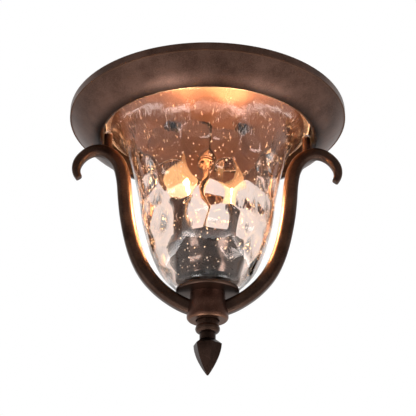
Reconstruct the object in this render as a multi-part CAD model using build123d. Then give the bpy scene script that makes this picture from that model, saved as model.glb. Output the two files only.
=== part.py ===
from build123d import *
import math
import os

os.makedirs("parts", exist_ok=True)

# Flush mount ceiling light: a pan on the ceiling, two candles on a central stem,
# and a cage of arms, hub and glass bell that drops off below once the finial is unscrewed.
# Millimetres, +Z up, z = 0 is the ceiling, the arms lie in the XZ plane.

# Pan, pressed from sheet
pan_radius = 165.0
pan_sheet = 1.5
pan_lip_height = 8.5
pan_lip_step = 1.5
pan_hem_width = 7.0
pan_depth = 34.0
pan_shoulder_width = 40.0
pan_shoulder_bulge = 2.6
mouth_roll_radius = 5.0
well_depth = 7.0

# Crossbar on the ceiling box, its studs and the cap nuts that hold the pan
crossbar_thickness = 2.0
crossbar_width = 20.0
stud_spacing = 80.0
stud_radius = 2.08
stud_strip_overhang = 10.0
slot_spacing = 79.4
slot_length = 16.0
slot_radius = 2.5
slot_strip_overhang = 8.0
crossbar_bore_radius = 6.5
crossbar_rounding = 2.5
cap_nut_radius = 9.5
cap_nut_height = 16.5
cap_nut_wall = 3.0
ground_screw_head_radius = 3.6
ground_screw_head_height = 2.4
ground_screw_offset = 20.0
ground_screw_rounding = 0.6

# Stem, a threaded pipe, and what is screwed on it
stem_radius = 4.8
stem_bore_radius = 3.5
stem_top_drop = 3.0
stem_nut_across = 15.0
pan_nut_height = 3.2
pan_washer_radius = 10.0
pan_washer_thickness = 1.5
stop_nut_height = 4.5
thread_turns = 10
thread_pitch = 0.94

# Glass bell: its curve's radii as shares of the rim's, each with the share of the height where it lies
bell_wall = 4.0
bell_rim_gap = 3.0
bell_rim_drop = 14.0
bell_height = 205.5
bell_flare_radius_share = 0.869
bell_flare_drop_share = 0.064
bell_neck_radius_share = 0.7484
bell_neck_drop_share = 0.227
bell_waist_radius_share = 0.6623
bell_waist_drop_share = 0.436
bell_belly_radius_share = 0.6
bell_belly_drop_share = 0.645
bell_bowl_radius_share = 0.4648
bell_bowl_drop_share = 0.874
bell_heel_radius_share = 0.3115
bell_heel_drop_share = 0.982
bell_foot_radius_share = 0.2377
gasket_radius = 20.0
gasket_thickness = 2.0

# Dish under the glass and the hub below it
dish_overhang = 6.7
dish_floor = 3.5
dish_rim_height = 2.8
dish_rim_rounding = 2.0
dish_underside_taper = 2.0
hub_neck_radius = 19.8
hub_radius = 23.3
hub_height = 31.0
hub_belt_share = 0.84
hub_bottom_radius = 20.6
hub_corner_bulge = 0.7
hub_recess_radius = 13.4
hub_recess_depth = 6.5

# Arms, rounded square bar that thins towards the hook
bar_width = 17.0
bar_root_width = 16.0
bar_crest_width = 13.5
bar_hook_width = 11.5
bar_tip_width = 8.0
bar_rounding_share = 0.33
bar_tip_rounding = 1.3
arm_root_depth = 14.0
arm_root_level = 17.5
arm_gap_low = 4.4
arm_gap_bowl = 6.2
arm_gap_belly = 7.8
arm_gap_waist = 7.2
hook_pan_gap = 4.2
hook_crest_offset = 12.3
hook_neck_in = 31.5
hook_neck_drop = 34.0
hook_shoulder_in = 22.0
hook_shoulder_drop = 11.5
hook_outer_out = 22.0
hook_outer_drop = 17.0
hook_tip_out = 19.5
hook_tip_drop = 37.0
post_radius = 5.0
post_mouth_gap = 1.3

# Finial and its collar
collar_radius = 13.7
collar_height = 8.6
collar_bead_drop = 3.5
collar_low_radius = 9.8
collar_drop = 5.9
collar_play = 1.2
finial_neck_radius = 9.0
finial_shoulder_radius = 16.2
finial_neck_height = 7.0
finial_shoulder_height = 5.5
finial_bud_height = 34.5
finial_tip_radius = 1.0
finial_bud_fullness = 1.7
finial_turn = 12.0

# Candle cluster
candle_offset = 30.0
candle_angle = 20.0
cup_taper = 11.0
cup_height = 36.0
cup_sheet = 1.5
cover_top_radius = 43.0
cover_taper = 3.0
cover_height = 12.5
cover_nut_radius = 9.0
cover_nut_height = 3.5
socket_radius = 9.2
socket_height = 46.0
socket_well_depth = 24.0
socket_nipple_radius = 4.7
socket_nipple_length = 9.0
socket_nut_across = 14.0
socket_nut_height = 3.0
shell_wall = 0.45
sleeve_wall = 0.8
sleeve_gap = 0.9
sleeve_rise = 1.5
lead_radius = 1.1
lead_offset = 1.6
lead_bend_radius = 4.0

# Candle bulbs
bulb_cap_radius = 5.9
bulb_cap_height = 21.0
bulb_cap_chamfer = 2.0
bulb_button_radius = 2.6
bulb_button_height = 1.2
bulb_neck_radius = 5.4
bulb_radius = 17.5
bulb_length = 66.0
bulb_widest_share = 0.34
bulb_tip_radius = 1.6
bulb_neck_slope = 0.6
bulb_tip_slope = -0.15
bulb_wall = 0.8
mount_radius = 3.2
mount_top_radius = 2.7
mount_height = 17.0
filament_radius = 0.5
filament_half_span = 2.2
filament_height = 11.0
contact_radius = 3.4
contact_thickness = 1.0

# Clearances
thread_clearance = 0.15
slide_clearance = 0.4
seat_clearance = 0.3
shell_clearance = 0.25
press_clearance = 0.1

# Levels worked out from the sizes above
thread_length = thread_turns * thread_pitch
mouth_radius = pan_radius - pan_shoulder_width
bell_rim_radius = mouth_radius - bell_rim_gap
bell_foot_radius = bell_rim_radius * bell_foot_radius_share
dish_radius = bell_foot_radius + dish_overhang
cup_rim_radius = cover_top_radius + cover_taper
cup_foot_radius = cup_rim_radius - cup_taper
plate_top = -well_depth
plate_bottom = plate_top - pan_sheet
pan_low = -pan_depth
bell_rim_z = -bell_rim_drop
bell_foot_z = bell_rim_z - bell_height
dish_floor_z = bell_foot_z - gasket_thickness
hub_top_z = dish_floor_z - dish_floor
hub_low_z = hub_top_z - hub_height
recess_z = hub_low_z + hub_recess_depth
collar_top_z = hub_low_z - collar_drop
finial_top_z = collar_top_z - collar_height - seat_clearance
stem_low_z = finial_top_z - thread_length
stop_nut_low_z = bell_foot_z + bell_wall + gasket_thickness + seat_clearance
cup_low_z = stop_nut_low_z + stop_nut_height
cup_rim_z = cup_low_z + cup_height
cover_top_z = cup_rim_z + cover_height
socket_top_z = cover_top_z + socket_height
well_floor_z = socket_top_z - socket_well_depth
contact_top_z = well_floor_z + seat_clearance + contact_thickness
bulb_low_z = contact_top_z + seat_clearance
bulb_glass_z = bulb_low_z + bulb_button_height + bulb_cap_height
socket_bore_radius = bulb_cap_radius + shell_clearance + shell_wall + press_clearance
stem_hole_radius = stem_radius + thread_clearance
post_x = mouth_radius - post_radius - post_mouth_gap


def rod(radius, low, high, x=0.0, y=0.0):
    # Upright round bar between two levels
    return Pos(x, y, low) * Cylinder(radius, high - low, align=(Align.CENTER, Align.CENTER, Align.MIN))


def tube(outer, inner, low, high, x=0.0, y=0.0):
    return rod(outer, low, high, x, y) - rod(inner, low, high, x, y)


def hex_nut(across, bore, low, high, x=0.0, y=0.0):
    prism = extrude(RegularPolygon(across / math.sqrt(3), 6), high - low)
    return Pos(x, y, low) * prism - rod(bore, low, high, x, y)


def turned(*edges):
    # Solid turned about the Z axis from edges drawn as (radius, level)
    return revolve(Plane.XZ * make_face(edges), Axis.Z)


def candle_place(side):
    # Candles stand on a line turned from the arms, the left one nearer the front
    angle = math.radians(candle_angle)
    return side * candle_offset * math.cos(angle), side * candle_offset * math.sin(angle)


# Pan

def make_pan():
    roll_r = mouth_radius + mouth_roll_radius
    roll_z = pan_low + mouth_roll_radius
    step_r = pan_radius - pan_lip_step
    lip_z = -pan_lip_height
    middle = Vector((step_r + roll_r) / 2, (lip_z + pan_low) / 2)
    chord = Vector(step_r - roll_r, lip_z - pan_low).normalized()
    outward = Vector(chord.Y, -chord.X)
    crown = middle + outward * pan_shoulder_bulge
    back = crown - outward * pan_sheet
    half = math.sqrt(0.5)
    roll_out = mouth_roll_radius * half
    roll_in = (mouth_roll_radius - pan_sheet) * half
    inside_r = pan_radius - pan_lip_step - pan_sheet
    return turned(
        Line((stem_hole_radius, plate_bottom), (mouth_radius, plate_bottom)),
        Line((mouth_radius, plate_bottom), (mouth_radius, roll_z)),
        ThreePointArc((mouth_radius, roll_z), (roll_r - roll_out, roll_z - roll_out), (roll_r, pan_low)),
        ThreePointArc((roll_r, pan_low), (crown.X, crown.Y), (step_r, lip_z)),
        Polyline(
            (step_r, lip_z),
            (pan_radius, lip_z),
            (pan_radius, 0),
            (pan_radius - pan_hem_width, 0),
            (pan_radius - pan_hem_width, -pan_sheet),
            (inside_r, -pan_sheet),
            (inside_r, lip_z),
        ),
        ThreePointArc((inside_r, lip_z), (back.X, back.Y), (roll_r, pan_low + pan_sheet)),
        ThreePointArc(
            (roll_r, pan_low + pan_sheet),
            (roll_r - roll_in, roll_z - roll_in),
            (mouth_radius + pan_sheet, roll_z),
        ),
        Polyline(
            (mouth_radius + pan_sheet, roll_z),
            (mouth_radius + pan_sheet, plate_top),
            (stem_hole_radius, plate_top),
            (stem_hole_radius, plate_bottom),
        ),
    )


def make_pan_with_holes():
    pan = make_pan()
    for side in (-1, 1):
        pan -= rod(stud_radius + slide_clearance, plate_bottom, plate_top, side * stud_spacing / 2)
    return pan


# Mounting hardware

def make_crossbar():
    stud_strip = Box(stud_spacing + 2 * stud_strip_overhang, crossbar_width, crossbar_thickness)
    slot_strip_length = slot_spacing + slot_length + 2 * slot_strip_overhang
    slot_strip = Box(crossbar_width, slot_strip_length, crossbar_thickness)
    bar = Pos(0, 0, -crossbar_thickness / 2) * (stud_strip + slot_strip)
    bar = fillet(bar.edges().filter_by(Axis.Z), crossbar_rounding)
    bar -= rod(crossbar_bore_radius, -crossbar_thickness, 0)
    for side in (-1, 1):
        bar -= rod(stud_radius + press_clearance, -crossbar_thickness, 0, side * stud_spacing / 2)
        slot = extrude(SlotOverall(slot_length, 2 * slot_radius, rotation=90), -crossbar_thickness)
        bar -= Pos(0, side * slot_spacing / 2, 0) * slot
    bar -= rod(stud_radius + press_clearance, -crossbar_thickness, 0, ground_screw_offset)
    return bar


def make_studs():
    low = plate_bottom - cap_nut_height + cap_nut_wall + seat_clearance
    return [rod(stud_radius, low, 0, side * stud_spacing / 2) for side in (-1, 1)]


def make_cap_nuts():
    # Ball nuts with a flat collar against the pan plate and a blind bore
    collar = cap_nut_height - cap_nut_radius
    low = plate_bottom - cap_nut_height
    ball_z = low + cap_nut_radius
    half = cap_nut_radius * math.sqrt(0.5)
    bore = stud_radius + thread_clearance
    profile = turned(
        Polyline(
            (cap_nut_radius, ball_z),
            (cap_nut_radius, ball_z + collar),
            (bore, ball_z + collar),
            (bore, low + cap_nut_wall),
            (0, low + cap_nut_wall),
            (0, low),
        ),
        ThreePointArc((0, low), (half, ball_z - half), (cap_nut_radius, ball_z)),
    )
    return [Pos(side * stud_spacing / 2, 0, 0) * profile for side in (-1, 1)]


def make_ground_screw():
    head_low = -crossbar_thickness - ground_screw_head_height
    head = rod(ground_screw_head_radius, head_low, -crossbar_thickness, ground_screw_offset)
    head = fillet(head.edges().group_by(Axis.Z)[0], ground_screw_rounding)
    return head + rod(stud_radius, -crossbar_thickness, 0, ground_screw_offset)


# Stem and its nuts

def make_stem():
    stem = tube(stem_radius, stem_bore_radius, stem_low_z, -stem_top_drop)
    lead_z = lead_run_level()
    port = Cylinder(lead_radius + slide_clearance, 2 * stem_radius, rotation=(0, 90, 0))
    return stem - Pos(0, 0, lead_z) * Rot(0, 0, candle_angle) * port


def lead_run_level():
    # Level of the leads' run across the inside of the cup
    return cover_top_z - socket_nipple_length - cup_sheet - 2 * lead_bend_radius


def make_leads():
    leads = []
    run_z = lead_run_level()
    end_z = cover_top_z - cup_sheet
    for side in (-1, 1):
        path = FilletPolyline(
            (side * lead_offset, 0, -stem_top_drop),
            (side * lead_offset, 0, run_z),
            (side * candle_offset, 0, run_z),
            (side * candle_offset, 0, end_z),
            radius=lead_bend_radius - lead_radius,
        )
        start = Plane(origin=path @ 0, z_dir=path % 0)
        leads.append(Rot(0, 0, candle_angle) * sweep(start * Circle(lead_radius), path))
    return leads


# Candle cluster

def make_cup():
    inner_foot = cup_foot_radius - cup_sheet
    inner_rim = cup_rim_radius - cup_sheet
    return turned(
        Polyline(
            (stem_hole_radius, cup_low_z),
            (cup_foot_radius, cup_low_z),
            (cup_rim_radius, cup_rim_z),
            (inner_rim, cup_rim_z),
            (inner_foot, cup_low_z + cup_sheet),
            (stem_hole_radius, cup_low_z + cup_sheet),
            close=True,
        )
    )


def make_cover():
    # Lid of the cup, conical at the edge and flat where the sockets stand
    inner_top = cover_top_radius - cup_sheet
    inner_rim = cup_rim_radius - cup_sheet
    cover = turned(
        Polyline(
            (stem_hole_radius, cover_top_z),
            (cover_top_radius, cover_top_z),
            (cup_rim_radius, cup_rim_z),
            (inner_rim, cup_rim_z),
            (inner_top, cover_top_z - cup_sheet),
            (stem_hole_radius, cover_top_z - cup_sheet),
            close=True,
        )
    )
    for side in (-1, 1):
        x, y = candle_place(side)
        cover -= rod(socket_nipple_radius + thread_clearance, cover_top_z - cup_sheet, cover_top_z, x, y)
    return cover


def make_socket(side):
    x, y = candle_place(side)
    body = rod(socket_radius, cover_top_z, socket_top_z, x, y)
    body += rod(socket_nipple_radius, cover_top_z - socket_nipple_length, cover_top_z, x, y)
    body -= rod(socket_bore_radius, well_floor_z, socket_top_z, x, y)
    wire_top = cover_top_z + socket_nipple_length
    return body - rod(lead_radius + slide_clearance, cover_top_z - socket_nipple_length, wire_top, x, y)


def make_shell(side):
    x, y = candle_place(side)
    outer = socket_bore_radius - press_clearance
    return tube(outer, outer - shell_wall, well_floor_z, socket_top_z, x, y)


def make_socket_nuts():
    high = cover_top_z - cup_sheet
    nuts = []
    for side in (-1, 1):
        x, y = candle_place(side)
        bore = socket_nipple_radius + thread_clearance
        nuts.append(hex_nut(socket_nut_across, bore, high - socket_nut_height, high, x, y))
    return nuts


def make_sleeve(side):
    x, y = candle_place(side)
    inner = socket_radius + sleeve_gap
    return tube(inner + sleeve_wall, inner, cover_top_z, socket_top_z + sleeve_rise, x, y)


def make_contact(side):
    x, y = candle_place(side)
    return rod(contact_radius, contact_top_z - contact_thickness, contact_top_z, x, y)


# Bulbs

def make_bulb_cap(side):
    x, y = candle_place(side)
    cap_low = bulb_low_z + bulb_button_height
    cap = rod(bulb_cap_radius, cap_low, bulb_glass_z)
    cap = chamfer(cap.edges().group_by(Axis.Z)[0], bulb_cap_chamfer)
    cap += rod(bulb_button_radius, bulb_low_z, cap_low)
    return Pos(x, y, 0) * cap


def bulb_outline(inset):
    # Flame outline of the envelope, from the neck up to the tip
    low = bulb_glass_z + inset
    high = bulb_glass_z + bulb_length - inset
    widest = bulb_glass_z + bulb_length * bulb_widest_share
    upper = bulb_glass_z + bulb_length * (1 + bulb_widest_share) / 2
    return Spline(
        (bulb_neck_radius - inset, low),
        (bulb_radius - inset, widest),
        ((bulb_radius - inset) / 2, upper),
        (bulb_tip_radius - inset, high),
        tangents=((bulb_neck_slope, 1), (bulb_tip_slope, 1)),
    )


def make_bulb_glass(side):
    x, y = candle_place(side)
    top = bulb_glass_z + bulb_length
    outer = turned(
        bulb_outline(0),
        Polyline(
            (bulb_tip_radius, top),
            (0, top),
            (0, bulb_glass_z),
            (bulb_neck_radius, bulb_glass_z),
        ),
    )
    inner = turned(
        bulb_outline(bulb_wall),
        Polyline(
            (bulb_tip_radius - bulb_wall, top - bulb_wall),
            (0, top - bulb_wall),
            (0, bulb_glass_z + bulb_wall),
            (bulb_neck_radius - bulb_wall, bulb_glass_z + bulb_wall),
        ),
    )
    return Pos(x, y, 0) * (outer - inner)


def make_bulb_mount(side):
    x, y = candle_place(side)
    low = bulb_glass_z + bulb_wall
    return Pos(x, y, low) * Cone(
        mount_radius, mount_top_radius, mount_height,
        align=(Align.CENTER, Align.CENTER, Align.MIN),
    )


def make_filament(side):
    # Hairpin standing on the mount
    x, y = candle_place(side)
    low = bulb_glass_z + bulb_wall + mount_height
    shoulder = low + filament_height - filament_half_span
    legs = [
        rod(filament_radius, low, shoulder, end * filament_half_span)
        for end in (-1, 1)
    ]
    bow = Pos(0, 0, shoulder) * Rot(90, 0, 0) * Torus(filament_half_span, filament_radius)
    upper_half = Pos(0, 0, shoulder) * Box(
        bulb_radius, bulb_radius, filament_height,
        align=(Align.CENTER, Align.CENTER, Align.MIN),
    )
    return Pos(x, y, 0) * (legs[0] + legs[1] + (bow & upper_half))


# Glass bell

def bell_place(radius_share, drop_share):
    return bell_rim_radius * radius_share, bell_rim_z - bell_height * drop_share


bell_waist = bell_place(bell_waist_radius_share, bell_waist_drop_share)
bell_belly = bell_place(bell_belly_radius_share, bell_belly_drop_share)
bell_bowl = bell_place(bell_bowl_radius_share, bell_bowl_drop_share)
bell_heel = bell_place(bell_heel_radius_share, bell_heel_drop_share)
bell_points = [
    (bell_rim_radius, bell_rim_z),
    bell_place(bell_flare_radius_share, bell_flare_drop_share),
    bell_place(bell_neck_radius_share, bell_neck_drop_share),
    bell_waist,
    bell_belly,
    bell_bowl,
    bell_heel,
    (bell_foot_radius, bell_foot_z),
]
bell_outline = Spline(*bell_points)


def beside_bell(point, distance):
    # A point of the outline moved square to it, outwards if the distance is positive
    along = bell_outline.tangent_at(Vector(*point))
    return point[0] - along.Y * distance, point[1] + along.X * distance


def bell_curve(distance):
    points = [beside_bell(point, distance) for point in bell_points[:-1]]
    return Spline(*points, (bell_foot_radius, bell_foot_z - distance))


def make_bell():
    hole = stem_radius + slide_clearance
    inner = bell_curve(-bell_wall)
    floor_z = bell_foot_z + bell_wall
    return turned(
        bell_outline,
        Polyline(
            (bell_foot_radius, bell_foot_z),
            (hole, bell_foot_z),
            (hole, floor_z),
            (bell_foot_radius, floor_z),
        ),
        inner,
        Line(inner @ 0, bell_outline @ 0),
    )


def bell_plug(distance):
    # Filled outside of the bell, grown by a distance
    outer = bell_curve(distance)
    rim = outer @ 0
    foot = outer @ 1
    return turned(outer, Polyline(foot, (0, foot.Y), (0, rim.Y), rim))


def make_gasket(low):
    return tube(gasket_radius, stem_radius + slide_clearance, low, low + gasket_thickness)


# Cage

def make_dish():
    rim_low = dish_floor_z - dish_floor + dish_underside_taper
    rim_high = dish_floor_z + dish_rim_height
    disc = turned(
        Polyline(
            (stem_radius + slide_clearance, hub_top_z),
            (hub_neck_radius, hub_top_z),
            (dish_radius, rim_low),
            (dish_radius, rim_high),
            (stem_radius + slide_clearance, rim_high),
            close=True,
        )
    )
    rim_edges = disc.edges().filter_by(GeomType.CIRCLE).group_by(SortBy.RADIUS)[-1]
    disc = fillet(rim_edges, dish_rim_rounding)
    disc -= rod(bell_foot_radius, dish_floor_z, rim_high)
    return disc - bell_plug(seat_clearance)


def make_hub():
    bore = stem_radius + slide_clearance
    belt_z = hub_top_z - hub_height * hub_belt_share
    corner_r = (hub_radius + hub_bottom_radius) / 2
    corner_z = (belt_z + hub_low_z) / 2
    return turned(
        Line((bore, hub_top_z), (hub_neck_radius, hub_top_z)),
        Spline((hub_neck_radius, hub_top_z), (hub_radius, belt_z), tangents=((0, -1), (0, -1))),
        ThreePointArc(
            (hub_radius, belt_z),
            (corner_r + hub_corner_bulge, corner_z - hub_corner_bulge),
            (hub_bottom_radius, hub_low_z),
        ),
        Polyline(
            (hub_bottom_radius, hub_low_z),
            (hub_recess_radius, hub_low_z),
            (hub_recess_radius, recess_z),
            (bore, recess_z),
            (bore, hub_top_z),
        ),
    )


def arm_stations():
    # Places on the bar's middle line from the hub to the hook's tip, with the bar's width there
    crest_x = post_x + hook_crest_offset
    crest_z = pan_low - hook_pan_gap - bar_crest_width / 2
    half = bar_width / 2
    return [
        ((arm_root_depth, hub_top_z - arm_root_level), bar_root_width),
        (beside_bell(bell_heel, arm_gap_low + half), bar_root_width),
        (beside_bell(bell_bowl, arm_gap_bowl + half), bar_width),
        (beside_bell(bell_belly, arm_gap_belly + half), bar_width),
        (beside_bell(bell_waist, arm_gap_waist + half), bar_width),
        ((crest_x - hook_neck_in, crest_z - hook_neck_drop), bar_width),
        ((crest_x - hook_shoulder_in, crest_z - hook_shoulder_drop), bar_root_width),
        ((crest_x, crest_z), bar_crest_width),
        ((crest_x + hook_outer_out, crest_z - hook_outer_drop), bar_hook_width),
        ((crest_x + hook_tip_out, crest_z - hook_tip_drop), bar_tip_width),
    ]


def make_bar():
    stations = arm_stations()
    places = [(x, 0, z) for (x, z), width in stations]
    path = Spline(*places)
    shares = [path.param_at_point(place) for place in places]
    sections = []
    steps_between = 3
    for index in range(len(stations) - 1):
        for step in range(steps_between):
            part = step / steps_between
            share = shares[index] + (shares[index + 1] - shares[index]) * part
            width = stations[index][1] + (stations[index + 1][1] - stations[index][1]) * part
            sections.append((share, width))
    sections.append((shares[-1], stations[-1][1]))
    faces = []
    for share, width in sections:
        place = Plane(origin=path @ share, x_dir=(0, 1, 0), z_dir=path % share)
        faces.append(place * RectangleRounded(width, width, width * bar_rounding_share))
    bar = loft(faces)
    tip = bar.faces().sort_by_distance(path @ 1)[0]
    return fillet(tip.edges(), bar_tip_rounding)


bar = make_bar()


def make_arm(side):
    arm = bar if side > 0 else mirror(bar, about=Plane.YZ)
    return arm - make_hub()


def make_post(side):
    # Peg on the arm's top, cut to the bar it stands on
    crest_z = pan_low - hook_pan_gap - bar_crest_width / 2
    peg = rod(post_radius, crest_z, bumper_level(), side * post_x)
    arm = bar if side > 0 else mirror(bar, about=Plane.YZ)
    left = peg - arm
    return left.solids().sort_by(Axis.Z)[-1]


def bumper_level():
    # Centre of the bumper's dome, so that it just clears the flare of the glass
    rim = Vector(*bell_points[0])
    flare = Vector(*bell_points[1])
    along = (rim - flare).normalized()
    reach = (post_radius + seat_clearance) / along.X
    return flare.Y + (post_x - flare.X) * along.Y / along.X - reach


def make_bumper(side):
    level = bumper_level()
    dome = Pos(side * post_x, 0, level) * Sphere(post_radius)
    return dome & rod(2 * post_radius, level, level + 2 * post_radius, side * post_x)


# Finial

def make_collar():
    bore = stem_radius + slide_clearance
    boss = hub_recess_radius - collar_play
    low = collar_top_z - collar_height
    bead_z = collar_top_z - collar_bead_drop
    return turned(
        Polyline(
            (collar_low_radius, low),
            (bore, low),
            (bore, recess_z - seat_clearance),
            (boss, recess_z - seat_clearance),
            (boss, collar_top_z),
        ),
        ThreePointArc((boss, collar_top_z), (collar_radius, bead_z), (collar_low_radius, low)),
    )


def make_finial():
    neck_low = finial_top_z - finial_neck_height
    shoulder_z = neck_low - finial_shoulder_height
    bore_low = stem_low_z - seat_clearance
    neck = turned(
        Line((0, finial_top_z), (finial_neck_radius, finial_top_z)),
        Line((finial_neck_radius, finial_top_z), (finial_neck_radius, neck_low)),
        Polyline((finial_neck_radius, neck_low), (0, neck_low), (0, finial_top_z)),
    )
    profile = [
        (finial_neck_radius, neck_low),
        (finial_shoulder_radius, shoulder_z),
    ]
    bud_steps = 4
    for step in range(1, bud_steps + 1):
        share = step / bud_steps
        spread = 1 - share ** finial_bud_fullness
        profile.append((
            finial_tip_radius + (finial_shoulder_radius - finial_tip_radius) * spread,
            shoulder_z - finial_bud_height * share,
        ))
    hexagons = [
        Pos(0, 0, level) * Rot(0, 0, finial_turn - 90) * RegularPolygon(radius, 6)
        for radius, level in profile
    ]
    bud = loft(hexagons[:2], ruled=True) + loft(hexagons[1:])
    return neck + bud - rod(stem_radius + thread_clearance, bore_low, finial_top_z)


# Every piece under its own name

def write(name, shape):
    if isinstance(shape, list):
        shape = Compound(children=shape)
    export_step(shape, os.path.join("parts", name + ".step"))


write("pan", make_pan_with_holes())
write("crossbar", make_crossbar())
write("mounting_studs", make_studs())
write("cap_nuts", make_cap_nuts())
write("ground_screw", make_ground_screw())
write("stem", make_stem())
write("pan_nut_upper", hex_nut(stem_nut_across, stem_hole_radius, plate_top, plate_top + pan_nut_height))
washer_low = plate_bottom - pan_washer_thickness
write("pan_washer", tube(pan_washer_radius, stem_hole_radius, washer_low, plate_bottom))
write("pan_nut_lower", hex_nut(stem_nut_across, stem_hole_radius, washer_low - pan_nut_height, washer_low))
write("cluster_cup", make_cup())
write("cluster_cover", make_cover())
write("cluster_nut", tube(cover_nut_radius, stem_hole_radius, cover_top_z, cover_top_z + cover_nut_height))
write("stop_nut", hex_nut(stem_nut_across, stem_hole_radius, stop_nut_low_z, cup_low_z))
write("socket_nuts", make_socket_nuts())
write("lead_wires", make_leads())
write("glass_bell", make_bell())
write("glass_gasket_upper", make_gasket(bell_foot_z + bell_wall))
write("glass_gasket_lower", make_gasket(dish_floor_z))
write("dish", make_dish())
write("hub", make_hub())
write("finial_collar", make_collar())
write("finial", make_finial())
for hand, side in (("left", -1), ("right", 1)):
    write("socket_" + hand, make_socket(side))
    write("socket_shell_" + hand, make_shell(side))
    write("socket_contact_" + hand, make_contact(side))
    write("candle_sleeve_" + hand, make_sleeve(side))
    write("bulb_cap_" + hand, make_bulb_cap(side))
    write("bulb_glass_" + hand, make_bulb_glass(side))
    write("bulb_mount_" + hand, make_bulb_mount(side))
    write("bulb_filament_" + hand, make_filament(side))
    write("arm_" + hand, make_arm(side))
    write("post_" + hand, make_post(side))
    write("bumper_" + hand, make_bumper(side))

print("stem end", stem_low_z, "cover top", cover_top_z, "socket top", socket_top_z)
print("bulb tip", bulb_glass_z + bulb_length, "hook crest", max(z for (x, z), width in arm_stations()))
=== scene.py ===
import math
import bpy
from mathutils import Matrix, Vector


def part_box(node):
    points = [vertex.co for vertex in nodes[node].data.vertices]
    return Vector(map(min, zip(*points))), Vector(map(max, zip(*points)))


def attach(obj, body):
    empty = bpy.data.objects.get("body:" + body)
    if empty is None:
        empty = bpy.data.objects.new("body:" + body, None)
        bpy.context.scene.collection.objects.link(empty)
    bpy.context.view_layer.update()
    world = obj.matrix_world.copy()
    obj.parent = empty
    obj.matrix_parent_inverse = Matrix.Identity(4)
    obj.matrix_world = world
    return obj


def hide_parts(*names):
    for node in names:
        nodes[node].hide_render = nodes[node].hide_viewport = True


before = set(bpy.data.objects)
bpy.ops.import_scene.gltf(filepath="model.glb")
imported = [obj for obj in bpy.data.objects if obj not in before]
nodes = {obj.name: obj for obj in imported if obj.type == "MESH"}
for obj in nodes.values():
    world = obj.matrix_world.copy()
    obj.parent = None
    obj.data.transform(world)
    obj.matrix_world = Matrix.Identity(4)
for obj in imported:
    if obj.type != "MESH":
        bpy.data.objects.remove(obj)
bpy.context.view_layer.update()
scene = bpy.context.scene
scene.view_settings.view_transform = "Standard"
mm = 0.001
hands = ("left", "right")
print("frame loaded,", len(nodes), "solids")


# Sockets as Python values

class Wire:
    def __init__(self, tree, socket):
        self.tree = tree
        self.socket = socket

    def calc(self, operation, first, second):
        return mathNode(self.tree, operation, first, second)

    def __add__(self, other):
        return self.calc("ADD", self, other)

    def __radd__(self, other):
        return self.calc("ADD", other, self)

    def __sub__(self, other):
        return self.calc("SUBTRACT", self, other)

    def __rsub__(self, other):
        return self.calc("SUBTRACT", other, self)

    def __mul__(self, other):
        return self.calc("MULTIPLY", self, other)

    def __rmul__(self, other):
        return self.calc("MULTIPLY", other, self)

    def __truediv__(self, other):
        return self.calc("DIVIDE", self, other)

    def __rtruediv__(self, other):
        return self.calc("DIVIDE", other, self)

    def __pow__(self, other):
        return self.calc("POWER", self, other)


def findSocket(sockets, key):
    if isinstance(key, int):
        return sockets[key]
    for socket in sockets:
        if socket.identifier == key:
            return socket
    return sockets[key]


def addNode(tree, kind, settings=None, inputs=None, output=0):
    node = tree.nodes.new(kind)
    for key, value in (settings or {}).items():
        setattr(node, key, value)
    for key, value in (inputs or {}).items():
        socket = findSocket(node.inputs, key)
        if isinstance(value, Wire):
            tree.links.new(value.socket, socket)
        else:
            socket.default_value = value
    return Wire(tree, findSocket(node.outputs, output))


def otherOutput(wire, output):
    return Wire(wire.tree, findSocket(wire.socket.node.outputs, output))  # from the same node


def mathNode(tree, operation, *values):
    return addNode(tree, "ShaderNodeMath", {"operation": operation}, dict(enumerate(values)))


def biggest(first, second):
    return mathNode(first.tree, "MAXIMUM", first, second)


def mixColor(tree, share, first, second):
    return addNode(tree, "ShaderNodeMix", {"data_type": "RGBA"},
                   {"Factor_Float": share, "A_Color": first, "B_Color": second}, "Result_Color")


def between(value, low, high):
    # 0 below low, 1 above high, smooth in between
    return addNode(value.tree, "ShaderNodeMapRange", {"interpolation_type": "SMOOTHSTEP"},
                   {"Value": value, "From Min": low, "From Max": high})


def noiseAt(point, size, detail=3.0, roughness=0.55):
    return addNode(point.tree, "ShaderNodeTexNoise", {"normalize": True},
                   {"Vector": point, "Scale": 1.0 / size, "Detail": detail, "Roughness": roughness})


def splitPoint(point):
    x = addNode(point.tree, "ShaderNodeSeparateXYZ", None, {0: point}, "X")
    return x, otherOutput(x, "Y"), otherOutput(x, "Z")


def joinPoint(x, y, z):
    return addNode(x.tree, "ShaderNodeCombineXYZ", None, {"X": x, "Y": y, "Z": z})


def fromAxis(x, y):
    return (x * x + y * y) ** 0.5


def greyOf(level):
    return addNode(level.tree, "ShaderNodeCombineColor", None,
                   {"Red": level, "Green": level, "Blue": level})


def paint(color):
    return (*color, 1.0)


class Finish:
    # one material with its main shader and the point on the object
    def __init__(self, name, **fixed):
        self.material = bpy.data.materials.new(name)
        self.material.use_nodes = True
        self.tree = self.material.node_tree
        self.shader = self.tree.nodes["Principled BSDF"]
        self.point = addNode(self.tree, "ShaderNodeTexCoord", None, None, "Object")
        for key, value in fixed.items():
            self.shader.inputs[key.replace("_", " ")].default_value = value

    def feed(self, **links):
        for key, wire in links.items():
            self.tree.links.new(wire.socket, self.shader.inputs[key.replace("_", " ")])

    def blend(self, share, first, second):
        return mixColor(self.tree, share, paint(first), paint(second))

    def bump(self, height, depth, strength):
        lift = addNode(self.tree, "ShaderNodeBump", None,
                       {"Height": height, "Distance": depth, "Strength": strength}, "Normal")
        self.feed(Normal=lift)


# Bronze finishes

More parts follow.
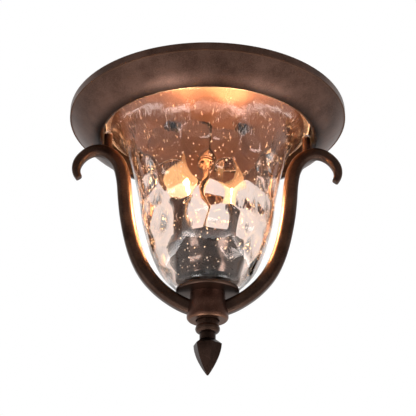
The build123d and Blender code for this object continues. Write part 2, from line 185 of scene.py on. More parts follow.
bronzeLook = {
    "dark": (0.068, 0.033, 0.022),
    "mid": (0.168, 0.090, 0.066),
    "copper": (0.200, 0.098, 0.058),
    "cloudSize": 26 * mm,
    "grainSize": 1.1 * mm,
    "toneMix": (0.55, 0.45),  # shares of cloud and grain
    "toneRange": (0.30, 0.66),
    "fleckGrain": (0.60, 0.72),
    "fleckCloud": (0.42, 0.62),
    "fleckShare": 0.45,
    "rubShare": 0.75,
    "metal": 0.95,
    "roughness": 0.25,
    "grainRoughness": 0.10,
    "cloudRoughness": 0.06,
    "coat": 0.08,
    "coatRoughness": 0.28,
    "bumpMix": (0.3, 0.7),  # shares of cloud and grain
    "bumpDepth": 0.12 * mm,
    "bumpStrength": 0.5,
}
panLook = {  # rubbed where the lip meets the shoulder; painted shade darkens it round the mouth and on the wall of the well
    **bronzeLook,
    # colour of the painted shade round the mouth and on the wall of the well
    "deep": (0.012, 0.007, 0.005),
    "rubStart": (-10.0 * mm, -8.6 * mm),
    "rubEnd": (-8.4 * mm, -7.0 * mm),
    "rubPower": 0.5,
    "paintedShadeStart": (115 * mm, 119 * mm),
    "paintedShadeEnd": (128 * mm, 143 * mm),
    "paintedShadePower": 0.95,
}
armLook = {  # darker and browner than the pan, hardly any lacquer
    **bronzeLook,
    "dark": (0.046, 0.023, 0.014),
    "mid": (0.118, 0.067, 0.049),
    "coat": 0.05,
}
hubLook = {  # redder and lighter than the arms, rubbed at its foot
    **armLook,
    "dark": (0.080, 0.032, 0.019),
    "mid": (0.200, 0.095, 0.068),
    "rubLevels": (-255.5 * mm, -253.0 * mm),
}
finialPaintedShadeLook = {  # darker than the arms: the same bronze with painted shade
    **armLook,
    "dark": (0.024, 0.0115, 0.007),
    "mid": (0.062, 0.034, 0.0255),
    "coat": 0.03,
}
cupLook = {  # dark and glossy
    **bronzeLook,
    "dark": (0.036, 0.020, 0.014),
    "mid": (0.070, 0.041, 0.030),
    "roughness": 0.10,
    "coat": 0.8,
    "coatRoughness": 0.06,
}
nutPaintedShadeLook = {  # the same bronze darkened to nearly black: painted shade against the lit plate
    **bronzeLook,
    "dark": (0.008, 0.005, 0.004),
    "mid": (0.018, 0.011, 0.008),
    "copper": (0.040, 0.020, 0.012),
    "roughness": 0.40,
    "coat": 0.0,
}


def hubRub(point):
    z = splitPoint(point)[2]
    return 1 - between(z, *hubLook["rubLevels"])


def panRub(point):
    z = splitPoint(point)[2]
    return between(z, *panLook["rubStart"]) * (1 - between(z, *panLook["rubEnd"])) * panLook["rubPower"]


# painted shade: a dark ring round the mouth and down the wall of the well, where the rolled shoulder and
# the wall fall into shade
def panPaintedShade(point):
    x, y = splitPoint(point)[:2]
    radius = fromAxis(x, y)
    ring = between(radius, *panLook["paintedShadeStart"]) * (1 - between(radius, *panLook["paintedShadeEnd"]))
    return ring * panLook["paintedShadePower"]


def makeBronze(name, look, rub=None, shade=None):
    finish = Finish(name, Metallic=look["metal"], Coat_Weight=look["coat"],
                    Coat_Roughness=look["coatRoughness"])
    cloud = noiseAt(finish.point, look["cloudSize"], detail=4.0, roughness=0.6)
    grain = noiseAt(finish.point, look["grainSize"], detail=2.0, roughness=0.7)
    cloudTone, grainTone = look["toneMix"]
    tone = between(cloud * cloudTone + grain * grainTone, *look["toneRange"])
    color = finish.blend(tone, look["dark"], look["mid"])
    fleck = between(grain, *look["fleckGrain"]) * between(cloud, *look["fleckCloud"]) * look["fleckShare"]
    if rub is not None:
        fleck = fleck + rub(finish.point) * look["rubShare"]
    color = mixColor(finish.tree, fleck, color, paint(look["copper"]))
    # painted shade: a darker colour and less lacquer shine where the mask is
    if shade is not None:
        paintedShadeShare = shade(finish.point)
        color = mixColor(finish.tree, paintedShadeShare, color, paint(look["deep"]))
        finish.feed(Coat_Weight=(1 - paintedShadeShare) * look["coat"])
    rough = look["roughness"] + grain * look["grainRoughness"] + cloud * look["cloudRoughness"]
    finish.feed(Base_Color=color, Roughness=rough)
    cloudBump, grainBump = look["bumpMix"]
    finish.bump(grain * grainBump + cloud * cloudBump, look["bumpDepth"], look["bumpStrength"])
    return finish.material


bronze = makeBronze("burnishedBronze", armLook)
panBronze = makeBronze("panBronze", panLook, panRub, panPaintedShade)
hubBronze = makeBronze("hubBronze", hubLook, hubRub)
finialPaintedShadeBronze = makeBronze("finialPaintedShadeBronze", finialPaintedShadeLook)
cupBronze = makeBronze("cupBronze", cupLook)
nutPaintedShadeBronze = makeBronze("nutPaintedShadeBronze", nutPaintedShadeLook)
print("bronze finishes made")


# Glass finishes

glassLook = {
    "deep": (0.955, 0.865, 0.815),
    "pale": (0.970, 0.897, 0.857),
    "cloudSize": 40 * mm,
    "roughness": 0.0,  # quite sharp, or the flare's haze in the room settings is lost
    "edgeRoughness": 0.45,
    "edgeLevels": (-14.8 * mm, -14.2 * mm),  # the ground edge of the rim
    "ior": 1.48,
    "strokeSize": 2.8 * mm,
    "strokeDepth": 0.45 * mm,
    "strokeRadius": 0.1,  # strokes run on a cylinder of this radius
    "strokeStretch": 0.22,
    "bodyStrokes": 0.10,  # share left below the flare
    "flareLevels": (-85 * mm, -40 * mm),
}
# the seeds are real bubbles; their pale opaque colour is painted reflection, standing in for the light a
# clear bubble gives back
seedLook = {
    "deep": (0.90, 0.78, 0.64),
    "pale": (0.94, 0.88, 0.80),
    "dull": (0.34, 0.27, 0.22),  # where the glass flares
    "flareLevels": (-110 * mm, -60 * mm),
    "cloudSize": 30 * mm,
    "roughness": 0.2,
    "cloudRoughness": 0.1,
    "coat": 0.3,
}
bulbLook = {
    "deep": (1.0, 0.90, 0.76),
    "pale": (1.0, 0.95, 0.86),
    "cloudSize": 9 * mm,
    "warm": (0.26, 0.15, 0.07),
    "skin": (0.08, 0.042, 0.018),
    "warmReach": (13 * mm, 27 * mm),
    "strength": 1.0,
    "ior": 1.45,
    "roughness": 0.02,
}


def makeBellGlass(look):
    finish = Finish("hammeredGlass", IOR=look["ior"], Transmission_Weight=1.0)
    cloud = noiseAt(finish.point, look["cloudSize"], detail=3.0, roughness=0.5)
    x, y, z = splitPoint(finish.point)
    edge = between(z, *look["edgeLevels"])
    finish.feed(Base_Color=finish.blend(cloud, look["deep"], look["pale"]),
                Roughness=look["roughness"] + edge * look["edgeRoughness"])
    radius = fromAxis(x, y)
    unrolled = joinPoint(x / radius * look["strokeRadius"], y / radius * look["strokeRadius"],
                         (z + radius) * look["strokeStretch"])
    strokes = noiseAt(unrolled, look["strokeSize"], detail=2.0, roughness=0.5)
    flare = between(z, *look["flareLevels"])  # short strokes drawn along the flare
    share = look["bodyStrokes"] + flare * (1 - look["bodyStrokes"])
    finish.bump(strokes * share, look["strokeDepth"], 1.0)
    return finish.material


# pale opaque specks: the light the bubbles reflect is painted into their colour
def makeSeedGlass(look):
    finish = Finish("glassSeeds", Coat_Weight=look["coat"])
    cloud = noiseAt(finish.point, look["cloudSize"])
    color = finish.blend(cloud, look["deep"], look["pale"])
    flare = between(splitPoint(finish.point)[2], *look["flareLevels"])
    finish.feed(Base_Color=mixColor(finish.tree, flare, color, paint(look["dull"])),
                Roughness=look["roughness"] + cloud * look["cloudRoughness"])
    return finish.material


def makeBulbGlass(name, look, middle):
    finish = Finish(name, IOR=look["ior"], Transmission_Weight=1.0, Roughness=look["roughness"],
                    Emission_Strength=look["strength"])
    reach = addNode(finish.tree, "ShaderNodeVectorMath", {"operation": "DISTANCE"},
                    {0: finish.point, 1: middle}, "Value")
    cool = between(reach, *look["warmReach"])
    cloud = noiseAt(finish.point, look["cloudSize"])
    finish.feed(Base_Color=finish.blend(cloud, look["deep"], look["pale"]),
                Emission_Color=finish.blend(cool, look["warm"], look["skin"]))
    return finish.material


bellGlass = makeBellGlass(glassLook)
seedGlass = makeSeedGlass(seedLook)
print("glass finishes made")


# Glowing finishes

mountLook = {  # the glass mount, lit through by the wire that it holds
    "deep": (0.92, 0.92, 0.90),
    "pale": (0.98, 0.97, 0.95),
    "deepGlow": (1.0, 0.74, 0.42),
    "paleGlow": (1.0, 0.84, 0.58),
    "cloudSize": 4 * mm,
    "strength": 5.0,
    "metal": 0.0,
    "roughness": 0.3,
}
filamentLook = {
    "deep": (0.5, 0.5, 0.5),
    "pale": (0.7, 0.68, 0.64),
    "deepGlow": (1.0, 0.72, 0.38),
    "paleGlow": (1.0, 0.86, 0.6),
    "cloudSize": 3 * mm,
    "strength": 14.0,
    "metal": 1.0,
    "roughness": 0.5,
}


def makeGlowing(name, look):
    finish = Finish(name, Metallic=look["metal"], Roughness=look["roughness"],
                    Emission_Strength=look["strength"])
    cloud = noiseAt(finish.point, look["cloudSize"])
    finish.feed(Base_Color=finish.blend(cloud, look["deep"], look["pale"]),
                Emission_Color=finish.blend(cloud, look["deepGlow"], look["paleGlow"]))
    return finish.material


mountGlow = makeGlowing("mountGlow", mountLook)
filamentGlow = makeGlowing("filamentGlow", filamentLook)
print("glowing finishes made")


# Plain finishes

zincLook = {
    "deep": (0.52, 0.52, 0.53),
    "pale": (0.66, 0.65, 0.62),
    "cloudSize": 7 * mm,
    "metal": 1.0,
    "roughness": 0.28,
}
brassLook = {
    "deep": (0.68, 0.50, 0.24),
    "pale": (0.80, 0.62, 0.34),
    "cloudSize": 6 * mm,
    "metal": 1.0,
    "roughness": 0.25,
}
gasketLook = {
    "deep": (0.035, 0.033, 0.032),
    "pale": (0.06, 0.058, 0.055),
    "cloudSize": 3 * mm,
    "metal": 0.0,
    "roughness": 0.6,
}
bumperLook = {
    "deep": (0.88, 0.87, 0.84),
    "pale": (0.95, 0.94, 0.92),
    "cloudSize": 5 * mm,
    "metal": 0.0,
    "roughness": 0.12,
}
socketLook = {
    "deep": (0.022, 0.020, 0.019),
    "pale": (0.04, 0.036, 0.034),
    "cloudSize": 4 * mm,
    "metal": 0.0,
    "roughness": 0.4,
}
jacketLook = {
    "deep": (0.03, 0.03, 0.03),
    "pale": (0.055, 0.053, 0.05),
    "cloudSize": 5 * mm,
    "metal": 0.0,
    "roughness": 0.35,
}
stemLook = {
    "deep": (0.020, 0.012, 0.009),
    "pale": (0.040, 0.024, 0.017),
    "pitch": 0.94 * mm,
    "roughness": 0.30,
}
capLook = {
    "deep": (0.70, 0.52, 0.25),
    "pale": (0.80, 0.62, 0.34),
    "pitch": 2.54 * mm,
    "roughness": 0.25,
}
plainGrain = {  # shared by the plain and the threaded finishes
    "cloudRoughness": 0.15,
    "toneRange": (0.35, 0.65),
    "bumpDepth": 0.05 * mm,
    "bumpStrength": 0.4,
    "threadCloud": 12 * mm,
    "threadDepth": 0.25 * mm,
    "threadStrength": 0.8,
}


def makePlain(name, look, **fixed):
    finish = Finish(name, Metallic=look["metal"], **fixed)
    cloud = noiseAt(finish.point, look["cloudSize"], detail=4.0, roughness=0.6)
    tone = between(cloud, *plainGrain["toneRange"])
    finish.feed(Base_Color=finish.blend(tone, look["deep"], look["pale"]),
                Roughness=look["roughness"] + cloud * plainGrain["cloudRoughness"])
    finish.bump(cloud, plainGrain["bumpDepth"], plainGrain["bumpStrength"])
    return finish.material


def makeThreaded(name, look):
    # turned metal with a thread cut round it
    finish = Finish(name, Metallic=1.0)
    cloud = noiseAt(finish.point, plainGrain["threadCloud"], detail=4.0, roughness=0.6)
    x, y, z = splitPoint(finish.point)
    turn = mathNode(finish.tree, "ARCTAN2", y, x)
    wave = mathNode(finish.tree, "SINE", z * (math.tau / look["pitch"]) + turn)
    finish.feed(Base_Color=finish.blend(cloud, look["deep"], look["pale"]),
                Roughness=look["roughness"] + cloud * plainGrain["cloudRoughness"])
    finish.bump(wave, plainGrain["threadDepth"], plainGrain["threadStrength"])
    return finish.material


zincSteel = makePlain("zincSteel", zincLook)
brass = makePlain("plainBrass", brassLook)
gasketRubber = makePlain("gasketRubber", gasketLook)
clearBumper = makePlain("clearBumper", bumperLook, Transmission_Weight=0.85, IOR=1.45)
phenolic = makePlain("socketPhenolic", socketLook)
wireJacket = makePlain("wireJacket", jacketLook)
stemBronze = makeThreaded("stemBronze", stemLook)
capBrass = makeThreaded("capBrass", capLook)
print("plain finishes made")


# Finishes on the solids

def dress(names, material):
    for name in names:
        mesh = nodes[name].data
        mesh.materials.clear()
        mesh.materials.append(material)


def both(*names):
    return [name + "_" + hand for name in names for hand in hands]


dress(["pan"], panBronze)
dress(["dish", "finial_collar"] + both("arm", "post"), bronze)
dress(["finial"], finialPaintedShadeBronze)
dress(["hub"], hubBronze)
dress(["cluster_cup", "cluster_cover"] + both("candle_sleeve"), cupBronze)
dress(["cap_nuts", "pan_washer", "pan_nut_lower", "cluster_nut"], nutPaintedShadeBronze)
dress(["crossbar", "mounting_studs", "pan_nut_upper", "socket_nuts", "stop_nut"], zincSteel)
dress(["ground_screw"] + both("socket_shell", "socket_contact"), brass)
dress(["stem"], stemBronze)
dress(both("bulb_cap"), capBrass)
dress(["glass_gasket_upper", "glass_gasket_lower"], gasketRubber)
dress(both("bumper"), clearBumper)
dress(both("socket"), phenolic)
dress(["lead_wires"], wireJacket)
dress(both("bulb_mount"), mountGlow)
dress(both("bulb_filament"), filamentGlow)
dress(["glass_bell"], bellGlass)
for hand in hands:
    low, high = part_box("bulb_filament_" + hand)
    dress(["bulb_glass_" + hand], makeBulbGlass("bulbGlow_" + hand, bulbLook, (low + high) / 2))
for name in both("bulb_glass", "bulb_mount"):
    nodes[name].visible_shadow = False  # the candle's light passes them
print("solids dressed")


# Node trees for pieces

socketKinds = {
    int: "NodeSocketInt",
    float: "NodeSocketFloat",
    bpy.types.Object: "NodeSocketObject",
    bpy.types.Material: "NodeSocketMaterial",
}


def newTree(name, values):
    # a tree with one named input for each value
    tree = bpy.data.node_groups.new(name, "GeometryNodeTree")
    for label, value in values.items():
        tree.interface.new_socket(name=label, in_out="INPUT", socket_type=socketKinds[type(value)])
    tree.interface.new_socket(name="Geometry", in_out="OUTPUT", socket_type="NodeSocketGeometry")
    source = tree.nodes.new("NodeGroupInput")
    return tree, {label: Wire(tree, source.outputs[label]) for label in values}


def endTree(tree, shape, finish):
    whole = addNode(tree, "GeometryNodeRealizeInstances", None, {0: shape})
    done = addNode(tree, "GeometryNodeSetMaterial", None, {"Geometry": whole, "Material": finish})
    sink = tree.nodes.new("NodeGroupOutput")
    tree.links.new(done.socket, sink.inputs[0])


def growPiece(name, tree, values):
    # runs a tree on an empty mesh and keeps the result as a plain mesh
    carrier = bpy.data.objects.new(name + "Carrier", bpy.data.meshes.new(name + "Carrier"))
    scene.collection.objects.link(carrier)
    modifier = carrier.modifiers.new("grow", "NODES")
    modifier.node_group = tree
    for item in tree.interface.items_tree:
        if item.in_out == "INPUT":
            modifier[item.identifier] = values[item.name]
    graph = bpy.context.evaluated_depsgraph_get()
    mesh = bpy.data.meshes.new_from_object(carrier.evaluated_get(graph), depsgraph=graph)
    mesh.name = name
    bpy.data.objects.remove(carrier)
    piece = bpy.data.objects.new(name, mesh)
    scene.collection.objects.link(piece)
    return piece


def shapeFrom(tree, source):
    return addNode(tree, "GeometryNodeObjectInfo", None, {"Object": source}, "Geometry")


def smoothShade(tree, shape):
    return addNode(tree, "GeometryNodeSetShadeSmooth", None, {"Geometry": shape, "Shade Smooth": True})


def pointPlace(tree):
    return addNode(tree, "GeometryNodeInputPosition")


def crossed(tree, first, second):
    return addNode(tree, "ShaderNodeVectorMath", {"operation": "CROSS_PRODUCT"},
                   {0: first, 1: second}, "Vector")


# Glass bell, turned from its profile and hammered on the inside

bell = {
    "rim": (122.0, -14.0),  # radius and level in mm, and all sizes down to the wall are in mm too
    "outer": [
        (106.0, -27.15), (91.3, -60.65), (80.8, -103.6),
        (73.2, -146.55), (56.7, -193.6), (38.0, -215.8),
    ],
    "foot": (29.0, -219.5),
    "hole": 5.2,
    "wall": 4.0,
    "bendSteps": 24,
    "leastSpan": 1e-9,
    "around": 320,
    "along": 300,
    "bumpSize": 29 * mm,
    "bumpHeight": 4.2 * mm,
    "bumpReach": 0.85,
    "bumpScatter": 0.9,
    "rippleSize": 15 * mm,
    "rippleDepth": 0.6 * mm,
    "bodyRipple": 0.35,  # share of the ripples below the flare
    "flareLevels": (-75 * mm, -35 * mm),
    "flareFlat": 0.6,  # share of the bumps that the flare loses
    "footFade": 0.03,  # fades are shares of the way round the profile
    "rimFade": (0.02, 0.004),
    "edgeFade": (0.015, 0.06),
    "floorFade": (0.06, 0.02),
    "mergeGap": 0.002 * mm,
}


def smoothLine(points):
    # a line through the points that bends evenly
    out = []
    last = len(points) - 1
    steps = bell["bendSteps"]
    for index in range(last):
        earlier = Vector(points[max(index - 1, 0)])
        start = Vector(points[index])
        stop = Vector(points[index + 1])
        later = Vector(points[min(index + 2, last)])
        span = (stop - start).length
        leaving = (stop - earlier) * (span / max(span + (start - earlier).length, bell["leastSpan"]))
        arriving = (later - start) * (span / max((later - stop).length + span, bell["leastSpan"]))
        if index == 0:
            leaving = stop - start
        if index == last - 1:
            arriving = stop - start
        for step in range(steps):
            way = step / steps
            startShare = 2 * way ** 3 - 3 * way ** 2 + 1
            leavingShare = way ** 3 - 2 * way ** 2 + way
            stopShare = -2 * way ** 3 + 3 * way ** 2
            arrivingShare = way ** 3 - way ** 2
            place = (start * startShare + leaving * leavingShare
                     + stop * stopShare + arriving * arrivingShare)
            out.append((place.x, place.y))
    out.append(tuple(points[-1]))
    return out


def bellSide(offset):
    # points of the outside line from foot to rim, moved square to it
    line = [bell["foot"]] + bell["outer"][::-1] + [bell["rim"]]
    moved = []
    for index, (radius, level) in enumerate(line):
        before = line[max(index - 1, 0)]
        after = line[min(index + 1, len(line) - 1)]
        along = Vector((after[0] - before[0], after[1] - before[1])).normalized()
        if index == 0:
            along = Vector((1.0, 0.0))
        moved.append((radius - along.y * offset, level + along.x * offset))
    return moved


def lineLength(points):
    return sum((Vector(a) - Vector(b)).length for a, b in zip(points, points[1:]))


def lineObject(name, points):
    curve = bpy.data.curves.new(name, "CURVE")
    curve.dimensions = "3D"
    spline = curve.splines.new("POLY")
    spline.points.add(len(points) - 1)
    for spot, (radius, level) in zip(spline.points, points):
        spot.co = (radius * mm, 0.0, level * mm, 1.0)
    item = bpy.data.objects.new(name, curve)
    scene.collection.objects.link(item)
    return item


def makeBell():
    outside = bellSide(0.0)
    inside = bellSide(bell["wall"])
    lowCorner = (bell["hole"], bell["foot"][1])
    highCorner = (bell["hole"], bell["foot"][1] + bell["wall"])
    profile = [lowCorner, outside[0]] + smoothLine(outside)[1:]
    profile += [inside[-1]] + smoothLine(inside[::-1])[1:]
    profile += [highCorner, lowCorner]
    total = lineLength(profile)
    footShare = (bell["foot"][0] - bell["hole"]) / total
    rimShare = footShare + lineLength(smoothLine(outside)) / total
    edgeShare = rimShare + bell["wall"] / total
    floorShare = edgeShare + lineLength(smoothLine(inside)) / total
    guide = lineObject("bellLine", profile)
    values = {
        "Profile": guide, "Around": bell["around"] + 1, "Along": bell["along"],
        "Bump Size": bell["bumpSize"], "Bump Height": bell["bumpHeight"], "Bump Reach": bell["bumpReach"],
        "Ripple Size": bell["rippleSize"], "Ripple Depth": bell["rippleDepth"],
        "Foot Share": footShare, "Rim Share": rimShare, "Edge Share": edgeShare, "Floor Share": floorShare,
        "Finish": bellGlass,
    }
    tree, given = newTree("bellTree", values)
    grid = addNode(tree, "GeometryNodeMeshGrid", None, {
        "Size X": 1.0, "Size Y": 1.0, "Vertices X": given["Around"], "Vertices Y": given["Along"]}, "Mesh")
    gridX, gridY = splitPoint(pointPlace(tree))[:2]
    turn = (gridX + 0.5) * math.tau
    share = gridY + 0.5
    cosine = mathNode(tree, "COSINE", turn)
    sine = mathNode(tree, "SINE", turn)
    spot = addNode(tree, "GeometryNodeSampleCurve", {"mode": "FACTOR", "use_all_curves": True},
                   {"Curves": shapeFrom(tree, given["Profile"]), "Factor": share}, "Position")
    radius, level = splitPoint(spot)[::2]
    alongX, alongZ = splitPoint(otherOutput(spot, "Tangent"))[::2]
    place = joinPoint(radius * cosine, radius * sine, level)
    cell = addNode(tree, "ShaderNodeTexVoronoi", {"feature": "F1"}, {
        "Vector": place, "Scale": 1.0 / given["Bump Size"], "Randomness": bell["bumpScatter"]}, "Distance")
    ripple = addNode(tree, "ShaderNodeTexNoise", None, {
        "Vector": place, "Scale": 1.0 / given["Ripple Size"], "Detail": 1.0})
    onOutside = between(share, given["Foot Share"], given["Foot Share"] + bell["footFade"])
    onOutside = onOutside * (1 - between(share, *[given["Rim Share"] - fade for fade in bell["rimFade"]]))
    onInside = between(share, *[given["Edge Share"] + fade for fade in bell["edgeFade"]])
    onInside = onInside * (1 - between(share, *[given["Floor Share"] - fade for fade in bell["floorFade"]]))
    flare = between(level, *bell["flareLevels"])  # finer ripples on the flared top
    height = 1 - between(cell, 0.0, given["Bump Reach"])
    bumps = height * given["Bump Height"] * (1 - flare * bell["flareFlat"])
    ripples = (ripple - 0.5) * given["Ripple Depth"] * (bell["bodyRipple"] + flare)
    lift = bumps * onInside + ripples * onOutside
    wider = radius + lift * alongZ
    moved = joinPoint(wider * cosine, wider * sine, level - lift * alongX)
    kept = addNode(tree, "GeometryNodeStoreNamedAttribute", {"data_type": "FLOAT", "domain": "POINT"}, {
        "Geometry": grid, "Name": "outside", "Value": onOutside})
    shaped = addNode(tree, "GeometryNodeSetPosition", None, {"Geometry": kept, "Position": moved})
    merged = addNode(tree, "GeometryNodeMergeByDistance", None, {
        "Geometry": shaped, "Distance": bell["mergeGap"]})
    endTree(tree, smoothShade(tree, merged), given["Finish"])
    piece = growPiece("hammered_bell", tree, values)
    bpy.data.objects.remove(guide)
    return piece


bellPiece = makeBell()
bellPiece.visible_shadow = False
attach(bellPiece, "cage")
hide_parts("glass_bell")
print("bell made,", len(bellPiece.data.polygons), "faces")


# Seeds, the small bubbles in the glass

seeds = {
    "density": 14000.0,
    "small": 0.40 * mm,
    "large": 1.00 * mm,
    "fewLarge": 3,  # the higher, the fewer large ones
    "shallow": 1.5 * mm,
    "deep": 2.3 * mm,
    "segments": 8,
    "rings": 6,
    "length": 1.25,
    "flareLevels": (-85 * mm, -45 * mm),  # seeds are drawn out where the glass flares
    "flareThin": 0.35,
    "flareLong": 1.6,
    "wallMask": (0.98, 0.99),
    "seed": 11,
    "sizeSeed": 5,  # added to the seed for the sizes
}


def randomValue(tree, low, high, seed):
    return addNode(tree, "FunctionNodeRandomValue", {"data_type": "FLOAT"},
                   {"Min_001": low, "Max_001": high, "Seed": seed}, "Value_001")


def makeSeeds():
    values = {
        "Bell": bellPiece, "Density": seeds["density"], "Small": seeds["small"], "Large": seeds["large"],
        "Shallow": seeds["shallow"], "Deep": seeds["deep"], "Seed": seeds["seed"], "Finish": seedGlass,
    }
    tree, given = newTree("seedTree", values)
    outside = addNode(tree, "GeometryNodeInputNamedAttribute", {"data_type": "FLOAT"},
                      {"Name": "outside"}, "Attribute")
    spots = addNode(tree, "GeometryNodeDistributePointsOnFaces", {"distribute_method": "RANDOM"}, {
        "Mesh": shapeFrom(tree, given["Bell"]), "Selection": between(outside, *seeds["wallMask"]),
        "Density": given["Density"], "Seed": given["Seed"]}, "Points")
    normal = otherOutput(spots, "Normal")
    depth = randomValue(tree, given["Shallow"], given["Deep"], given["Seed"])
    inward = addNode(tree, "ShaderNodeVectorMath", {"operation": "SCALE"}, {
        0: normal, "Scale": depth * -1.0}, "Vector")
    sunk = addNode(tree, "GeometryNodeSetPosition", None, {"Geometry": spots, "Offset": inward})
    bead = addNode(tree, "GeometryNodeMeshUVSphere", None, {
        "Segments": seeds["segments"], "Rings": seeds["rings"], "Radius": 1.0}, "Mesh")
    share = randomValue(tree, 0.0, 1.0, given["Seed"] + seeds["sizeSeed"])
    size = given["Small"] + (given["Large"] - given["Small"]) * share ** seeds["fewLarge"]
    place = pointPlace(tree)
    flare = between(splitPoint(place)[2], *seeds["flareLevels"])
    thin = size * (1 - flare * seeds["flareThin"])
    drawn = size * (seeds["length"] + flare * seeds["flareLong"])
    around = crossed(tree, (0.0, 0.0, 1.0), place)
    leaning = addNode(tree, "FunctionNodeAlignRotationToVector", {"axis": "Z"}, {
        "Vector": crossed(tree, normal, around)})
    dots = addNode(tree, "GeometryNodeInstanceOnPoints", None, {
        "Points": sunk, "Instance": smoothShade(tree, bead), "Rotation": leaning,
        "Scale": joinPoint(thin, thin, drawn)})
    endTree(tree, dots, given["Finish"])
    return growPiece("bell_seeds", tree, values)


seedPiece = makeSeeds()
seedPiece.visible_shadow = False
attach(seedPiece, "cage")
print("seeds made,", len(seedPiece.data.polygons), "faces")


# Camera

cameraPlace = {
    "spot": (-0.0385, -1.0993, -0.6358),
    "heading": math.atan2(0.0354, 0.9994),
    "pitch": 0.4400,
    "sensor": 36.0,
    "focalPixels": 1046.0,
    "framePixels": 416.0,
}


def makeCamera():
    data = bpy.data.cameras.new("camera")
    data.sensor_width = cameraPlace["sensor"]
    data.lens = cameraPlace["sensor"] * cameraPlace["focalPixels"] / cameraPlace["framePixels"]
    item = bpy.data.objects.new("camera", data)
    scene.collection.objects.link(item)
    item.location = cameraPlace["spot"]
    item.rotation_euler = (math.pi / 2 + cameraPlace["pitch"], 0.0, -cameraPlace["heading"])
    scene.camera = item


makeCamera()
print("camera set")


# Floor

floorLook = {
    "level": -2.4,
    "half": 6.0,
    "deep": (0.80, 0.79, 0.78),
    "pale": (0.84, 0.83, 0.82),
    "cloudSize": 0.6,
    "roughness": 0.9,
    "shade": 0.7,
    "middle": 0.3,  # share of the shade that is left below the fixture
    "sides": (0.3, 2.0),  # the distance aside, squared
    "glowCore": 0.3,  # share of a glow's reach that is at full brightness
    "glows": (  # place on the floor, reach and brightness
        (-0.75, 0.10, 0.45, 11.0),
        (1.10, 0.32, 0.62, 5.0),
        (0.0, -0.75, 0.40, 0.6),
    ),
}


def rayKinds(tree):
    camera = addNode(tree, "ShaderNodeLightPath", None, None, "Is Camera Ray")
    bounces = otherOutput(camera, "Glossy Depth") + otherOutput(camera, "Diffuse Depth")
    bounced = between(bounces, 0.4, 0.6)  # 0 before the first bounce, 1 after it
    through = otherOutput(camera, "Is Transmission Ray") * (1 - bounced)
    return {
        "seen": biggest(camera, through),  # straight from the lens, or only through glass
        "glossy": otherOutput(camera, "Is Glossy Ray"),
        "mirrored": otherOutput(camera, "Is Reflection Ray"),
        "sharp": otherOutput(camera, "Is Singular Ray"),
    }


def makeFloor(look):
    half = look["half"]
    mesh = bpy.data.meshes.new("floor")
    corners = [(-half, -half), (half, -half), (half, half), (-half, half)]
    mesh.from_pydata([(x, y, look["level"]) for x, y in corners], [], [(0, 1, 2, 3)])
    floor = bpy.data.objects.new("floor", mesh)
    scene.collection.objects.link(floor)
    finish = Finish("floorPaper", Roughness=look["roughness"], Emission_Strength=1.0)
    cloud = noiseAt(finish.point, look["cloudSize"])
    x, y = splitPoint(finish.point)[:2]
    glow = cloud * look["shade"] * (look["middle"] + between(x * x, *look["sides"]) * (1 - look["middle"]))
    for spotX, spotY, reach, bright in look["glows"]:  # soft patches of light on the paper
        apart = ((x - spotX) ** 2 + (y - spotY) ** 2) ** 0.5
        glow = glow + (1 - between(apart, reach * look["glowCore"], reach)) * bright
    seen = rayKinds(finish.tree)["seen"]
    finish.feed(Base_Color=finish.blend(cloud, look["deep"], look["pale"]),
                Emission_Color=mixColor(finish.tree, seen, greyOf(glow), paint((1, 1, 1))))
    mesh.materials.append(finish.material)


makeFloor(floorLook)
print("floor laid")


# Room and candle light

roomLook = {  # ranges are parts of a direction of length 1, and a spread is squared
    "shade": 0.14,
    "bright": 0.95,
    "backDepth": (0.05, 0.60),
    "backLevels": (-0.45, -0.05),
    "backMirror": 0.4,
    "sideSpread": (0.25, 0.80),
    "sideShare": 0.3,
    "topLevels": (0.30, 0.85),
    "topShare": 0.5,
    "glows": (  # direction, how near to it and brightness
        ((-0.64, -0.72, -0.27), (0.970, 0.993), 10.0),
        ((0.72, -0.64, -0.26), (0.970, 0.993), 10.0),
    ),
    "glowLoss": 0.85,  # share of the glows that mirrored rays miss
    "haze": 10.0,  # pale and low, mirrored by the sharp bell glass alone
    "hazeLevels": (-0.36, -0.17),
    "hazeMiddle": 0.35,
    "hazeSpread": (0.02, 0.30),
}
candle = {
    "watts": 3.3,
    "color": (1.0, 0.56, 0.26),
    "size": 6 * mm,
    "upward": 0.35,  # an upright wire shines little upwards
    "upLevels": (0.50, 0.90),
}


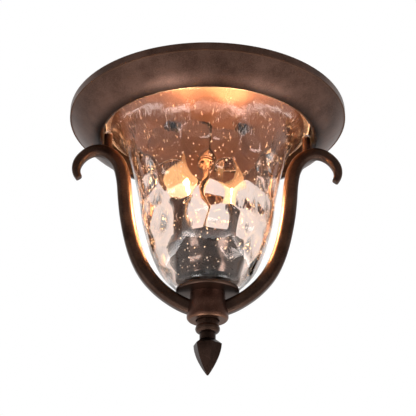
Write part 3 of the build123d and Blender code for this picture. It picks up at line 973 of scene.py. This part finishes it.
def makeWorld(look):
    # white wherever the lens looks, a dimmer room in front of the fixture
    world = bpy.data.worlds.new("studio")
    scene.world = world
    world.use_nodes = True
    tree = world.node_tree
    direction = addNode(tree, "ShaderNodeTexCoord", None, None, "Generated")
    x, y, z = splitPoint(direction)
    back = between(y, *look["backDepth"]) * between(z, *look["backLevels"])
    sides = between(x * x, *look["sideSpread"]) * look["sideShare"]
    above = between(z, *look["topLevels"]) * look["topShare"]
    bright = biggest(biggest(back * look["backMirror"], sides), above)
    room = look["shade"] + bright * (look["bright"] - look["shade"])
    rays = rayKinds(tree)
    for toward, nearness, power in look["glows"]:
        facing = addNode(tree, "ShaderNodeVectorMath", {"operation": "DOT_PRODUCT"},
                         {0: direction, 1: Vector(toward).normalized()}, "Value")
        room = room + between(facing, *nearness) * power * (1 - rays["mirrored"] * look["glowLoss"])
    lobes = look["hazeMiddle"] + between(x * x, *look["hazeSpread"]) * (1 - look["hazeMiddle"])
    haze = (1 - between(z, *look["hazeLevels"])) * lobes
    room = room + haze * rays["mirrored"] * rays["sharp"] * look["haze"]
    seen = biggest(rays["seen"], rays["glossy"] * back * look["backMirror"])
    sky = tree.nodes["Background"]
    tree.links.new(greyOf(seen + (1 - seen) * room).socket, sky.inputs["Color"])
    sky.inputs["Strength"].default_value = 1.0


def makeLights(look):
    for hand in hands:
        low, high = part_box("bulb_filament_" + hand)
        data = bpy.data.lights.new("candle_" + hand, "POINT")
        data.energy = look["watts"]
        data.color = look["color"]
        data.shadow_soft_size = look["size"]
        data.use_nodes = True
        tree = data.node_tree
        z = splitPoint(addNode(tree, "ShaderNodeTexCoord", None, None, "Normal"))[2]
        spread = 1 - between(z, *look["upLevels"]) * (1 - look["upward"])
        tree.links.new(greyOf(spread).socket, tree.nodes["Emission"].inputs["Color"])
        item = bpy.data.objects.new("candle_" + hand, data)
        scene.collection.objects.link(item)
        item.location = (low + high) / 2
        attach(item, "bulb_" + hand)


makeWorld(roomLook)
makeLights(candle)
print("stage lit")
